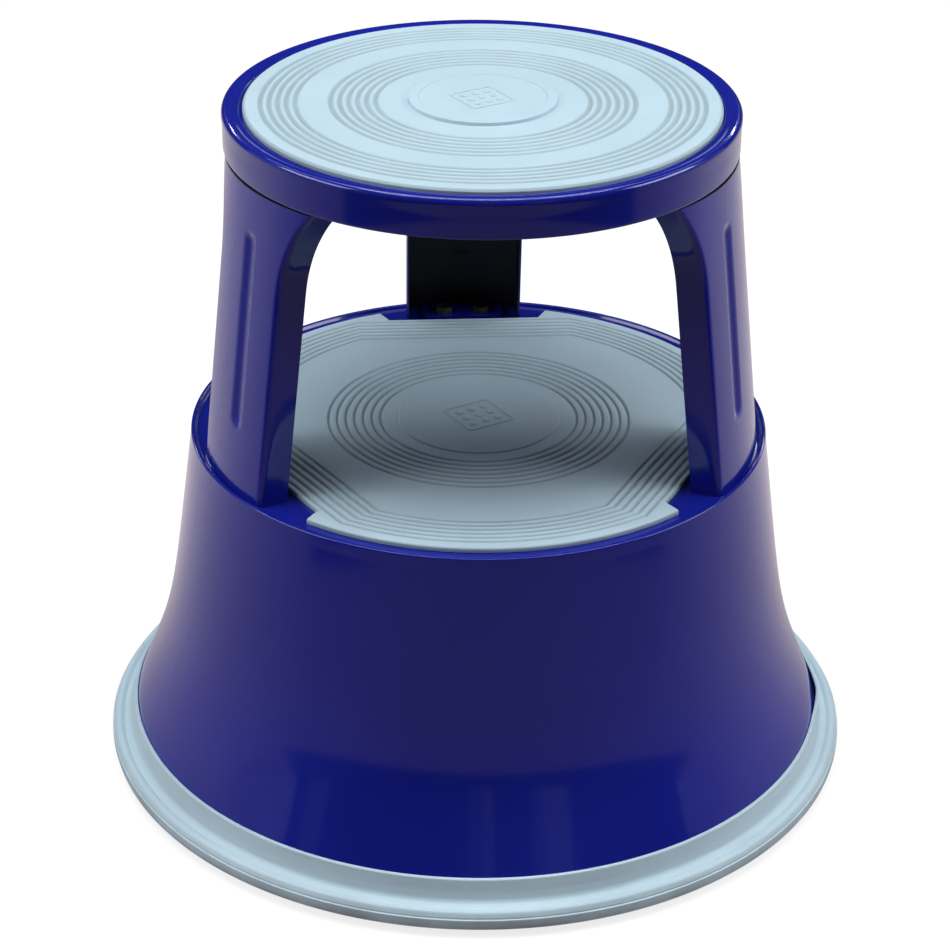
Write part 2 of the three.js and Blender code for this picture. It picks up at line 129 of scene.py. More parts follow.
def turned(name, outline, material, segments=ROUND, crease=35):
    """A closed outline of (radius, height) turned about the vertical axis."""
    points, faces = [], []
    count = len(outline)
    for i in range(segments):
        angle = math.tau * i / segments
        points += [(r * math.cos(angle), r * math.sin(angle), z) for r, z in outline]
    for i in range(segments):
        here, there = i * count, (i + 1) % segments * count
        for k in range(count):
            step = (k + 1) % count
            if outline[k][0] < 1e-6 and outline[step][0] < 1e-6:
                continue
            faces.append((here + k, there + k, there + step, here + step))
    return make(name, points, faces, material, crease)


def ring_faces(loops, count, first=0):
    """Faces between each closed loop of count points and the next."""
    faces = []
    for i in range(loops - 1):
        for j in range(count):
            step = (j + 1) % count
            here, there = first + i * count, first + (i + 1) * count
            faces.append((here + j, here + step, there + step, there + j))
    return faces


def smooth(t):
    t = min(max(t, 0.0), 1.0)
    return t * t * (3 - 2 * t)


def dip(distance, half_width):
    """1 in the middle of a round-bottomed groove, 0 outside it."""
    return 0.5 + 0.5 * math.cos(math.pi * min(abs(distance) / half_width, 1.0))


# ---- materials ----------------------------------------------------------------------------------

class Nodes:
    """A material's node tree, with short calls for the textures that the finishes share."""

    def __init__(self, name):
        self.material = bpy.data.materials.new(name)
        self.material.use_nodes = True
        self.tree = self.material.node_tree
        self.shader = self.tree.nodes["Principled BSDF"]
        self.place = self.add("ShaderNodeTexCoord").outputs["Object"]

    def add(self, kind, **values):
        node = self.tree.nodes.new(kind)
        for key, value in values.items():
            setattr(node, key, value)
        return node

    def put(self, socket, value):
        if isinstance(value, bpy.types.NodeSocket):
            self.tree.links.new(value, socket)
        else:
            socket.default_value = value

    def set(self, **values):
        for key, value in values.items():
            self.put(self.shader.inputs[key.replace("_", " ")], value)

    def noise(self, scale, detail=4.0, roughness=0.5, stretch=(1, 1, 1)):
        """Noise with features about 1/scale metres across, stretched along the axes."""
        mapping = self.add("ShaderNodeMapping")
        self.put(mapping.inputs["Vector"], self.place)
        mapping.inputs["Scale"].default_value = stretch
        node = self.add("ShaderNodeTexNoise")
        self.put(node.inputs["Vector"], mapping.outputs["Vector"])
        node.inputs["Scale"].default_value = scale
        node.inputs["Detail"].default_value = detail
        node.inputs["Roughness"].default_value = roughness
        return node.outputs["Fac"]

    def cells(self, scale):
        node = self.add("ShaderNodeTexVoronoi")
        self.put(node.inputs["Vector"], self.place)
        node.inputs["Scale"].default_value = scale
        return node.outputs["Distance"]

    def remap(self, value, low, high, to_low=0.0, to_high=1.0):
        node = self.add("ShaderNodeMapRange")
        self.put(node.inputs["Value"], value)
        node.inputs["From Min"].default_value = low
        node.inputs["From Max"].default_value = high
        node.inputs["To Min"].default_value = to_low
        node.inputs["To Max"].default_value = to_high
        return node.outputs["Result"]

    def math(self, operation, a, b=0.0):
        node = self.add("ShaderNodeMath", operation=operation)
        self.put(node.inputs[0], a)
        self.put(node.inputs[1], b)
        return node.outputs["Value"]

    def mix(self, factor, a, b):
        node = self.add("ShaderNodeMix", data_type="RGBA")
        self.put(node.inputs["Factor"], factor)
        self.put(node.inputs["A"], a)
        self.put(node.inputs["B"], b)
        return node.outputs["Result"]

    def height(self):
        node = self.add("ShaderNodeSeparateXYZ")
        self.put(node.inputs["Vector"], self.place)
        return node.outputs["Z"]

    def bump(self, height, distance, strength=1.0, under=None):
        node = self.add("ShaderNodeBump")
        self.put(node.inputs["Height"], height)
        node.inputs["Distance"].default_value = distance
        node.inputs["Strength"].default_value = strength
        if under is not None:
            self.put(node.inputs["Normal"], under)
        return node.outputs["Normal"]


def rgb(red, green, blue):
    return (red, green, blue, 1.0)


def blue_paint():
    """Glossy stove enamel: orange peel, faint clouding, fine dust and a few hairline scuffs."""
    n = Nodes("blue_paint")
    cloud = n.noise(9, 3)
    colour = n.mix(n.remap(cloud, 0.35, 0.65), rgb(0.0068, 0.0130, 0.255), rgb(0.0086, 0.0158, 0.290))
    specks = n.remap(n.cells(260), 0.035, 0.07, 1.0, 0.0)
    dusty = n.math("MULTIPLY", specks, n.remap(n.noise(14, 2), 0.52, 0.62))
    colour = n.mix(n.math("MULTIPLY", dusty, 0.25), colour, rgb(0.16, 0.16, 0.36))
    scuffs = n.noise(55, 6, 0.7, (1, 1, 7))
    worn = n.math("MULTIPLY", n.remap(scuffs, 0.62, 0.74), n.remap(n.noise(6, 2), 0.5, 0.62))
    roughness = n.remap(n.noise(30, 5), 0.3, 0.7, 0.16, 0.22)
    roughness = n.math("ADD", roughness, n.math("MULTIPLY", worn, 0.10))
    peel = n.bump(n.noise(420, 1.5), 0.00003, 0.5)
    surface = n.bump(n.noise(70, 2), 0.00006, 0.35, peel)
    n.set(Base_Color=colour, Roughness=roughness, Normal=surface)
    n.set(Coat_Weight=0.9, Coat_Roughness=0.07, Coat_IOR=1.45, Specular_IOR_Level=0.12)
    return n.material


def tread_mat(name, top):
    """Soft ribbed vinyl: pebbled grain, slight yellowing, and painted shade that darkens the groove bottoms
    in patches.
    """
    n = Nodes(name)
    cloud = n.noise(12, 4)
    colour = n.mix(n.remap(cloud, 0.35, 0.65), rgb(0.425, 0.575, 0.665), rgb(0.455, 0.605, 0.695))
    flecks = n.remap(n.noise(900, 2), 0.60, 0.72)
    colour = n.mix(n.math("MULTIPLY", flecks, 0.16), colour, rgb(0.30, 0.42, 0.48))
    # painted shade: the colour darkens towards the bottom of each groove, by height, in patches from a noise
    low = n.remap(n.height(), (top - 0.7) * MM, (top - 0.12) * MM, 0.62, 0.0)
    groove_shade_mottle = n.remap(n.noise(40, 4), 0.1, 0.6, 0.6, 1.0)
    colour = n.mix(n.math("MULTIPLY", low, groove_shade_mottle), colour, rgb(0.24, 0.31, 0.34))
    rubbed = n.remap(n.noise(24, 5, 0.6, (1, 1, 1)), 0.52, 0.70)
    colour = n.mix(n.math("MULTIPLY", rubbed, 0.12), colour, rgb(0.36, 0.50, 0.56))
    roughness = n.remap(n.noise(60, 4), 0.3, 0.7, 0.50, 0.66)
    grain = n.bump(n.cells(1100), 0.00006, 0.5)
    surface = n.bump(n.noise(2600, 3), 0.00004, 0.5, grain)
    n.set(Base_Color=colour, Roughness=roughness, Normal=surface, Specular_IOR_Level=0.35)
    return n.material


def ring_plastic():
    """Moulded bumper: fine grain, faint flow lines round the ring, colour darker towards the bottom."""
    n = Nodes("ring_plastic")
    cloud = n.noise(16, 4)
    colour = n.mix(n.remap(cloud, 0.35, 0.65), rgb(0.470, 0.620, 0.710), rgb(0.510, 0.665, 0.760))
    flow = n.noise(260, 3, 0.5, (0.08, 0.08, 1))
    colour = n.mix(n.math("MULTIPLY", n.remap(flow, 0.5, 0.7), 0.12), colour, rgb(0.22, 0.30, 0.34))
    # the colour turns darker towards the ring's bottom, in patches from a noise
    low = n.remap(n.height(), 0.006, 0.016, 0.5, 0.0)
    low_darkening = n.math("MULTIPLY", low, n.remap(n.noise(35, 5), 0.35, 0.7))
    colour = n.mix(low_darkening, colour, rgb(0.12, 0.13, 0.13))
    scratches = n.remap(n.noise(120, 6, 0.75, (1, 1, 9)), 0.63, 0.72)
    roughness = n.math("ADD", n.remap(cloud, 0.3, 0.7, 0.36, 0.46), n.math("MULTIPLY", scratches, 0.2))
    surface = n.bump(n.noise(1500, 3), 0.00004, 0.5)
    n.set(Base_Color=colour, Roughness=roughness, Normal=surface, Specular_IOR_Level=0.4)
    return n.material


def zinc_steel(name, light, dark, roughness):
    """Bright zinc plate: spangle, brushed grain and dull handled patches."""
    n = Nodes(name)
    spangle = n.remap(n.cells(140), 0.1, 0.8)
    colour = n.mix(spangle, dark, light)
    dull = n.remap(n.noise(45, 5), 0.45, 0.7)
    colour = n.mix(n.math("MULTIPLY", dull, 0.35), colour, rgb(0.30, 0.29, 0.26))
    rough = n.remap(dull, 0.0, 1.0, roughness, roughness + 0.22)
    brushed = n.bump(n.noise(700, 3, 0.6, (1, 1, 0.1)), 0.00003, 0.5)
    n.set(Base_Color=colour, Roughness=rough, Normal=brushed, Metallic=1.0)
    return n.material


def moulded(name, light, dark, roughness):
    """Plain moulded plastic or rubber: even grain, faint mottling and scuffs."""
    n = Nodes(name)
    colour = n.mix(n.remap(n.noise(60, 4), 0.35, 0.65), dark, light)
    scuffs = n.remap(n.noise(180, 6, 0.7), 0.58, 0.72)
    colour = n.mix(n.math("MULTIPLY", scuffs, 0.3), colour, rgb(0.30, 0.30, 0.29))
    rough = n.math("ADD", n.math("MULTIPLY", scuffs, 0.2), roughness)
    n.set(Base_Color=colour, Roughness=rough, Normal=n.bump(n.noise(1600, 3), 0.00005, 0.5))
    return n.material


def painted_leg_shade():
    """Near-black painted shade for the legs' insides and the step behind the top step's skirt: matt,
    blotchy, faintly blue.
    """
    n = Nodes("painted_leg_shade")
    blotch = n.remap(n.noise(28, 5, 0.6), 0.35, 0.7)
    colour = n.mix(blotch, rgb(0.0050, 0.0050, 0.0060), rgb(0.0090, 0.0090, 0.0140))
    blue_flecks = n.remap(n.noise(260, 3), 0.60, 0.75)
    colour = n.mix(n.math("MULTIPLY", blue_flecks, 0.35), colour, rgb(0.012, 0.014, 0.075))
    n.set(Base_Color=colour, Roughness=n.remap(blotch, 0, 1, 0.42, 0.6), Specular_IOR_Level=0.25)
    n.set(Normal=n.bump(n.noise(900, 3), 0.00004, 0.5))
    return n.material


PAN_LOW, PAN_HIGH = box("top_step_pan")
TOP_MAT_LOW, TOP_MAT_HIGH = box("top_mat")
DRUM_LOW, DRUM_HIGH = box("base_drum")
STEP_MAT_LOW, STEP_MAT_HIGH = box("step_mat")
RING_LOW, RING_HIGH = box("bumper_ring")

BOSS_HEIGHT = 2.1
MAT_FACE = TOP_MAT_HIGH.z - BOSS_HEIGHT

BLUE = blue_paint()
# near-black material that paints the shade inside the legs
LEG_SHADE = painted_leg_shade()
TOP_VINYL = tread_mat("top_vinyl", MAT_FACE)
STEP_VINYL = tread_mat("step_vinyl", STEP_MAT_HIGH.z)
RING_GREY = ring_plastic()
ZINC = zinc_steel("zinc_plate", rgb(0.74, 0.75, 0.76), rgb(0.58, 0.60, 0.62), 0.24)
SPRING_STEEL = zinc_steel("spring_wire", rgb(0.42, 0.43, 0.45), rgb(0.28, 0.29, 0.31), 0.30)
# near-black steel for the foot bolts: painted shade, so they sink into the shadow inside the legs
SHADE_DARK_STEEL = zinc_steel("shade_dark_steel", rgb(0.050, 0.050, 0.055), rgb(0.030, 0.030, 0.034), 0.45)
HUB_BLACK = moulded("hub_black", rgb(0.030, 0.031, 0.034), rgb(0.020, 0.021, 0.023), 0.42)
TYRE_GREY = moulded("tyre_grey", rgb(0.20, 0.21, 0.22), rgb(0.15, 0.16, 0.17), 0.58)


def placed(piece, body, slot, *nodes):
    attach(piece, body)
    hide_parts(*nodes)
    return piece


# ---- top step -----------------------------------------------------------------------------------

SHEET = 1.0
SEAT_GAP = 0.3  # between pieces that rest on each other
WELL_GAP = 0.8  # how much wider than the CAD mat its recess in the pan is
RIM_ROLL = 3.4  # radius of the rolled rim
SKIRT_INSET = 0.35  # how far the skirt stands inside the rim's widest line


def top_step_pan():
    """The pressed pan: a sunk floor, a rim that slopes up to a rolled edge, a skirt with a turned-in hem."""
    radius, foot, crown = PAN_HIGH.x, PAN_LOW.z, PAN_HIGH.z
    floor = TOP_MAT_LOW.z - SEAT_GAP
    well = TOP_MAT_HIGH.x + WELL_GAP
    skirt = radius - SKIRT_INSET
    outline = [(0, floor)]
    outline += rounded([(0, floor, 0), (well, floor, 0.4), (well + 0.4, crown - 3.0, 1.2),
                        (radius - 5.6, crown - 0.9, 5), (radius - RIM_ROLL, crown, 0)], 10)[1:-1]
    outline += arc(radius - RIM_ROLL, crown - RIM_ROLL, RIM_ROLL, 98, 0, 24)
    outline += [(radius - 0.03, crown - RIM_ROLL - 1.5), (skirt, crown - 8)]
    outline += [(skirt, (crown + foot) / 2), (skirt, foot + 1.6)]
    outline += [(skirt - 0.12, foot + 0.7), (skirt - 0.45, foot + 0.12), (skirt - 0.8, foot)]
    outline += [(skirt - SHEET - 0.1, foot + 0.25), (skirt - SHEET, foot + 1.0)]
    outline += rounded([
        (skirt - SHEET, foot + 1.0, 0),
        (skirt - SHEET, crown - 1.6, 2.0),
        (well + 0.8, floor + 1.6, 0.6),
        (well - 0.2, floor - SHEET, 0.5),
        (0, floor - SHEET, 0),
    ])[1:]
    return placed(turned("top_pan", outline, BLUE), "stool", "paint", "top_step_pan")


def grooved(top, start, end, grooves, half_width, depth, step=0.35):
    """(radius, height) points from start to end, with a round groove at each radius in grooves."""
    count = max(int(abs(end - start) / step), 1)
    points = []
    for i in range(count + 1):
        r = start + (end - start) * i / count
        drop = max((dip(r - g, half_width) for g in grooves), default=0.0)
        points.append((r, top - depth * drop))
    return points


TOP_INNER_GROOVES = [60.7 + 5.06 * i for i in range(6)]
TOP_OUTER_GROOVES = [106 + 4.88 * i for i in range(5)]


def rounded_square(half, corner, turn, steps=6):
    """Points of a square with rounded corners, turned by some degrees."""
    points = []
    for side in range(4):
        angle = math.tau / 8 + math.tau / 4 * side
        inner = (half - corner) * math.sqrt(2)
        for i in range(steps + 1):
            around = angle - math.tau / 8 + math.tau / 4 * i / steps
            points.append((inner * math.cos(angle) + corner * math.cos(around),
                           inner * math.sin(angle) + corner * math.sin(around)))
    spin = math.radians(turn)
    cos, sin = math.cos(spin), math.sin(spin)
    return [(x * cos - y * sin, x * sin + y * cos) for x, y in points]


def loops_shell(loops, closed):
    """Points and faces of a shell through equal loops; closed joins the last loop to the first."""
    count = len(loops[0])
    points = [point for loop in loops for point in loop]
    faces = ring_faces(len(loops), count)
    if closed:
        last = (len(loops) - 1) * count
        faces += [(last + j, last + (j + 1) % count, (j + 1) % count, j) for j in range(count)]
    else:
        faces.append(tuple(range(count)))
        faces.append(tuple((len(loops) - 1) * count + j for j in range(count)))
    return points, faces


MOTIF_TURN = 28
MOTIF_HEIGHT = 0.55


def motif(name, face, half, material):
    """A plain moulded mark: a square rim round nine pips, standing on a mat's centre disc."""
    def loop(size, corner, z, x=0.0, y=0.0):
        return [(px + x, py + y, z) for px, py in rounded_square(size, corner, MOTIF_TURN)]

    low, high = face - SEAT_GAP, face + MOTIF_HEIGHT
    shells = [loops_shell([
        loop(half, 3.0, low),
        loop(half, 3.0, high - 0.2),
        loop(half - 0.2, 2.8, high),
        loop(half - 1.1, 1.9, high),
        loop(half - 1.3, 1.7, high - 0.2),
        loop(half - 1.3, 1.7, low),
    ], True)]
    pitch = half * 0.52
    spin = Matrix.Rotation(math.radians(MOTIF_TURN), 2)
    for row in (-1, 0, 1):
        for column in (-1, 0, 1):
            x, y = spin @ Vector((row * pitch, column * pitch))
            pip = pitch * 0.30
            crown = pip - 0.3
            shells.append(loops_shell([
                loop(pip, pip * 0.98, low, x, y),
                loop(pip, pip * 0.98, high - 0.25, x, y),
                loop(crown, crown * 0.98, high, x, y),
            ], False))
    points, faces = [], []
    for shell_points, shell_faces in shells:
        faces += [tuple(len(points) + i for i in corners) for corners in shell_faces]
        points += shell_points
    piece = make(name, points, faces, material, 50)
    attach(piece, "stool")
    return piece


BOSS_RADIUS = 42.6
BOSS_INNER = 36.4  # inside this the boss is sunk a little
BOSS_RECESS = 0.6
TOP_GROOVE_HALF = 2.3
TOP_GROOVE_DEPTH = 1.2
MAT_SHIFT = (0.6, 0.6)  # the mat lies a little off centre in its recess


def top_mat():
    radius, foot = TOP_MAT_HIGH.x - 0.2, TOP_MAT_LOW.z
    boss = TOP_MAT_HIGH.z
    outline = rounded([
        (0, boss - BOSS_RECESS, 0), (BOSS_INNER, boss - BOSS_RECESS, 0.3), (BOSS_INNER + 0.5, boss, 0.4),
        (BOSS_RADIUS - 0.3, boss, 0.5), (BOSS_RADIUS, MAT_FACE, 0.3), (50, MAT_FACE, 0),
    ])[:-1]
    outline += grooved(MAT_FACE, 57, 90, TOP_INNER_GROOVES, TOP_GROOVE_HALF, TOP_GROOVE_DEPTH)
    outline += grooved(MAT_FACE, 102, 130, TOP_OUTER_GROOVES, TOP_GROOVE_HALF, TOP_GROOVE_DEPTH)
    outline += rounded([(130, MAT_FACE, 0), (radius - 1.6, MAT_FACE, 0.8), (radius, MAT_FACE - 1.4, 0.6),
                        (radius, foot, 0)])[1:-1]
    outline += [(radius, foot), (0, foot)]
    disc = turned("tread_disc", outline, TOP_VINYL)
    disc.data.transform(Matrix.Translation(Vector((*MAT_SHIFT, 0)) * MM))
    return placed(disc, "stool", "tread_mat", "top_mat")


top_step_pan()
top_mat()
motif("top_motif", TOP_MAT_HIGH.z - BOSS_RECESS, 14, TOP_VINYL)


# ---- lower step mat -----------------------------------------------------------------------------

MAT_RADIUS = 160.8
MAT_NOTCH = 140.9  # distance of each notch's straight edge from the stool's axis
MAT_NOTCH_HALF = 49.1
BAND_ARCS = (130.9, 153.1)  # radii of the innermost and outermost groove of the outer band
BAND_CHORDS = (112.5, 137.2)  # and how far their straight parts are from the axis
BAND_GROOVES = 6
RING_GROOVES = [58.7 + 5.13 * i for i in range(7)]
BAND_GROOVE_SHARE = 0.34  # half a groove's width as a share of the band's pitch
RING_GROOVE_HALF = 1.5
DISC_RADIUS = 48.6
DISC_HEIGHT = 0.8
STEP_GROOVE_DEPTH = 1.15


def band_corner(share):
    """Angle from a leg's direction to the corner of the outer band's curve at that share."""
    arc = BAND_ARCS[0] + (BAND_ARCS[1] - BAND_ARCS[0]) * share
    chord = BAND_CHORDS[0] + (BAND_CHORDS[1] - BAND_CHORDS[0]) * share
    return math.acos(chord / arc), arc, chord


def mat_columns(chord_steps=40, arc_steps=72):
    """One third of the mat as (part, share along it), from the middle of one chord to the next."""
    half = [("chord", i / chord_steps) for i in range(chord_steps)]
    arcs = [("arc", i / arc_steps) for i in range(arc_steps + 1)]
    back = [("chord", i / chord_steps - 1) for i in range(1, chord_steps)]
    return half + arcs + back


def band_point(part, along, share):
    """A point of one groove curve: straight facing each leg, round between two legs."""
    corner, arc, chord = band_corner(share)
    if part == "chord":
        across = chord * math.tan(corner)
        if along >= 0:
            return math.atan2(across * along, chord), math.hypot(across * along, chord)
        return math.tau / 3 - math.atan2(-across * along, chord), math.hypot(across * along, chord)
    return corner + (math.tau / 3 - 2 * corner) * along, arc


def step_mat():
    """A sheet with round grooves in the middle and an outer band that runs straight past each leg."""
    top, foot = STEP_MAT_HIGH.z, STEP_MAT_LOW.z
    columns = mat_columns()
    thirds = [(k, part, along) for k in range(3) for part, along in columns]
    disc = top + DISC_HEIGHT
    rows = [("ring", r, disc) for r in (0.5, 12, 24, 36, 47.4)]
    rows += [("ring", DISC_RADIUS - 0.5, disc - 0.04), ("ring", DISC_RADIUS - 0.2, disc - 0.2),
             ("ring", DISC_RADIUS, disc - 0.45), ("ring", DISC_RADIUS + 0.1, top), ("ring", 50, top)]
    for i in range(103):
        r = 52 + 0.4 * i
        drop = max(dip(r - groove, RING_GROOVE_HALF) for groove in RING_GROOVES)
        rows.append(("ring", r, top - STEP_GROOVE_DEPTH * drop))
    band_steps = 72
    margin = 0.05
    for i in range(band_steps + 1):
        share = -margin + (1 + 2 * margin) * i / band_steps
        pitch = 1 / (BAND_GROOVES - 1)
        nearest = round(min(max(share, 0), 1) / pitch) * pitch
        drop = dip(share - nearest, pitch * BAND_GROOVE_SHARE)
        rows.append(("band", share, top - STEP_GROOVE_DEPTH * drop))
    rows += [("edge", 1.4, top), ("edge", 1.0, top - 0.08), ("edge", 0.5, top - 0.35),
             ("edge", 0.15, top - 0.8), ("edge", 0.0, top - 1.3), ("edge", 0.0, foot)]
    points = []
    notch_end = math.atan2(MAT_NOTCH_HALF, MAT_NOTCH)
    for kind, value, z in rows:
        for k, part, along in thirds:
            turn = math.pi / 2 + math.tau / 3 * k
            if kind == "ring":
                angle, _ = band_point(part, along, 0)
                radius = value
            elif kind == "band":
                angle, radius = band_point(part, along, value)
            else:
                angle, _ = band_point(part, along, 1.05)
                near = min(angle, math.tau / 3 - angle)
                if near <= notch_end:
                    radius = (MAT_NOTCH - value) / math.cos(near)
                else:
                    radius = MAT_RADIUS - value
            points.append((radius * math.cos(turn + angle), radius * math.sin(turn + angle), z))
    count = len(thirds)
    faces = []
    for i in range(len(rows) - 1):
        for j in range(count):
            step = (j + 1) % count
            faces.append((i * count + j, i * count + step, (i + 1) * count + step, (i + 1) * count + j))
    points.append((0, 0, disc))
    points.append((0, 0, foot))
    last = (len(rows) - 1) * count
    for j in range(count):
        step = (j + 1) % count
        faces.append((len(points) - 2, step, j))
        faces.append((len(points) - 1, last + j, last + step))
    return placed(make("step_tread", points, faces, STEP_VINYL), "stool", "tread_mat", "step_mat")


step_mat()
motif("step_motif", STEP_MAT_HIGH.z + DISC_HEIGHT, 16, STEP_VINYL)


# ---- base drum and bumper ring ------------------------------------------------------------------

DRUM_RADIUS = 171.4  # of the skirt's line carried up to the drum's top
DRUM_TAPER = 0.135
DRUM_FLARE = 19.7
DRUM_FLARE_HEIGHT = 60.6
DRUM_TOP = STEP_MAT_LOW.z - SEAT_GAP
BEAD_INNER = 168.2


def skirt(height):
    bell = DRUM_FLARE * math.exp(-((height / DRUM_FLARE_HEIGHT) ** 2))
    return DRUM_RADIUS + DRUM_TAPER * (DRUM_TOP - height) + bell


def skirt_line(offset, start, end, steps):
    heights = [start + (end - start) * i / steps for i in range(steps + 1)]
    return [(skirt(h) + offset, h) for h in heights]


def base_drum():
    """The spun drum: a flat step, a raised bead round its edge and a skirt that flares to the floor."""
    crown = DRUM_HIGH.z
    outline = [(0, DRUM_TOP), (BEAD_INNER - 6, DRUM_TOP)]
    outline += rounded([(BEAD_INNER - 6, DRUM_TOP, 0), (BEAD_INNER - 0.4, DRUM_TOP, 1.0),
                        (BEAD_INNER + 1.0, crown, 1.2), (skirt(crown) + 0.25, crown, 2.4),
                        (skirt(crown - 6), crown - 6, 0)], 10)[1:-1]
    outline += skirt_line(0, crown - 6, DRUM_LOW.z, 80)
    outline += skirt_line(-SHEET, DRUM_LOW.z, DRUM_TOP - 4, 40)
    outline += rounded([(skirt(DRUM_TOP - 4) - SHEET, DRUM_TOP - 4, 0),
                        (skirt(DRUM_TOP) - SHEET, DRUM_TOP - SHEET, 2.0), (150, DRUM_TOP - SHEET, 0)])[1:-1]
    outline += [(0, DRUM_TOP - SHEET)]
    return placed(turned("drum", outline, BLUE), "stool", "paint", "base_drum")


RING_RADIUS = RING_HIGH.x
RING_FOOT = RING_LOW.z
RING_LIP = RING_HIGH.z - 0.2
LIP_GAP = 2.4  # how far the lip has sprung away from the drum at one place
LIP_GAP_AT = -6.5  # where that is, in degrees
LIP_GAP_SPAN = 9


def bumper_ring():
    """The moulded ring: a thin lip against the drum, a steep slope, a gutter, then a round bead."""
    radius = RING_RADIUS
    outside = [
        (skirt(RING_LIP) + 0.3, RING_LIP - 0.4, 0),
        (skirt(RING_LIP) + 0.5, RING_LIP, 0.3),
        (skirt(RING_LIP) + 2.4, RING_LIP, 1.0),
        (radius - 12.6, 22.4, 9),
        (radius - 11.0, 17.0, 9),
        (radius - 7.4, 15.1, 0.15),
        (radius - 5.2, 16.3, 3),
        (radius - 2.6, 15.6, 3),
        (radius - 1.1, 13.0, 0.8),
        (radius - 0.9, 12.1, 0.25),
        (radius - 0.1, 11.8, 0.4),
        (radius, 10.4, 0.6),
        (radius, 8, 0.5),
        (radius - 0.6, RING_FOOT, 1.2),
        (204.7, RING_FOOT, 1.2),
    ]
    outline = rounded(outside + [(skirt(28) - SHEET - 3.2, 28, 0.8)], 8)
    outline += skirt_line(-SHEET - 0.3, 28, 13, 6)
    outline += skirt_line(0.3, 12.9, RING_LIP - 1, 8)
    ring = turned("bumper", outline, RING_GREY)
    for vertex in ring.data.vertices:
        x, y, z = vertex.co / MM
        angle = math.degrees(math.atan2(y, x))
        sprung = LIP_GAP * max(0.0, 1 - abs(angle - LIP_GAP_AT) / LIP_GAP_SPAN)
        if z > 22 and math.hypot(x, y) > skirt(z) - 0.1:
            out = 1 + sprung * (z - 22) / (RING_LIP - 22) / math.hypot(x, y)
            vertex.co.x *= out
            vertex.co.y *= out
    return placed(ring, "stool", "bumper", "bumper_ring")


base_drum()
bumper_ring()


# ---- legs ---------------------------------------------------------------------------------------

LEG_FOOT = box("leg_rear")[0].z
LEG_TOP = box("leg_rear")[1].z
LEG_FACE = 146.8  # radius of the face at the foot of the top step's skirt
LEG_LEAN = 0.114
LEG_CURVE = 1.13
LEG_HALF = 36.7
LEG_FLANGE = (-0.2, -17.6)
LEG_SHEET = 1.2
LEG_BEND = 3.6  # size of the bend between face and flange
LEG_TUCK = 387.9  # height where the face steps in behind the skirt
LEG_TUCKED = 144.7  # radius of the face above that
ARCH_START = 335
ARCH_RADIUS = 84
GROOVE_LOW, GROOVE_HIGH = 247, 366
GROOVE_HALF = 6.8
GROOVE_DEPTH = 2.2
GROOVE_SHIFT = {"rear": 0.0, "left": -7.9, "right": 7.9}  # towards the front
GROOVE_RAMP = 8
SKIRT_FOOT = PAN_LOW.z


def face_radius(height):
    leaning = LEG_FACE + LEG_LEAN * (SKIRT_FOOT - height)
    tuck = smooth((height - LEG_TUCK) / (SKIRT_FOOT - 0.4 - LEG_TUCK))
    return leaning + (LEG_TUCKED - leaning) * tuck


def face_radial(across, height, shift):
    """How far the pressed face is from the stool's axis, square to the leg, groove included."""
    radius = face_radius(height)
    bulge = radius - LEG_CURVE * (radius - math.sqrt(radius ** 2 - across ** 2))
    ends = smooth((height - GROOVE_LOW) / GROOVE_RAMP) * smooth((GROOVE_HIGH - height) / GROOVE_RAMP)
    return bulge - GROOVE_DEPTH * ends * dip(across - shift, GROOVE_HALF)


def half_width(height):
    rise = min(max(height - ARCH_START, 0), SKIRT_FOOT - ARCH_START)
    return LEG_HALF + ARCH_RADIUS - math.sqrt(ARCH_RADIUS ** 2 - rise ** 2)


def leg_section(height, shift):
    """The outside of the channel at one height, from one flange's edge to the other's."""
    half = half_width(height)
    corner = Vector((half, face_radial(half, height, shift)))
    along_face = (corner - Vector((half - 1, face_radial(half - 1, height, shift)))).normalized()
    along_flange = Vector(LEG_FLANGE).normalized()
    start = corner - along_face * LEG_BEND
    end = corner + along_flange * LEG_BEND
    side = []
    bend_steps = 8
    for i in range(1, bend_steps + 1):
        t = i / bend_steps
        side.append(start * (1 - t) ** 2 + corner * 2 * t * (1 - t) + end * t ** 2)
    tip = corner + Vector(LEG_FLANGE)
    side += [end.lerp(tip, i / 4) for i in range(1, 5)]
    face_steps = 64
    face = []
    for i in range(face_steps + 1):
        x = start.x * (2 * i / face_steps - 1)
        face.append(Vector((x, face_radial(x, height, shift))))
    return [Vector((-p.x, p.y)) for p in reversed(side)] + face + side


def offset_inwards(section, distance):
    moved = []
    for i, point in enumerate(section):
        along = (section[min(i + 1, len(section) - 1)] - section[max(i - 1, 0)]).normalized()
        moved.append(point + Vector((along.y, -along.x)) * distance)
    return moved


def leg_heights():
    """Rows close together where the section changes quickly."""
    rows = [LEG_FOOT, LEG_FOOT + 0.4]
    rows += [LEG_FOOT + 4 + 5.2 * i for i in range(6)]
    rows += [GROOVE_LOW - 1 + i for i in range(11)]
    rows += [GROOVE_LOW + 14 + 7 * i for i in range(10)]
    rows += [329 + 2 * i for i in range(14)]
    rows += [GROOVE_HIGH - 9 + i for i in range(11)]
    rows += [370 + 2 * i for i in range(8)]
    rows += [LEG_TUCK + 0.25 * i for i in range(10)]
    rows += [LEG_TOP - 12, LEG_TOP - 6, LEG_TOP]
    return sorted(set(rows))


TAB_INNER = 147
TAB_HALF = 26
TAB_THICKNESS = 1.6


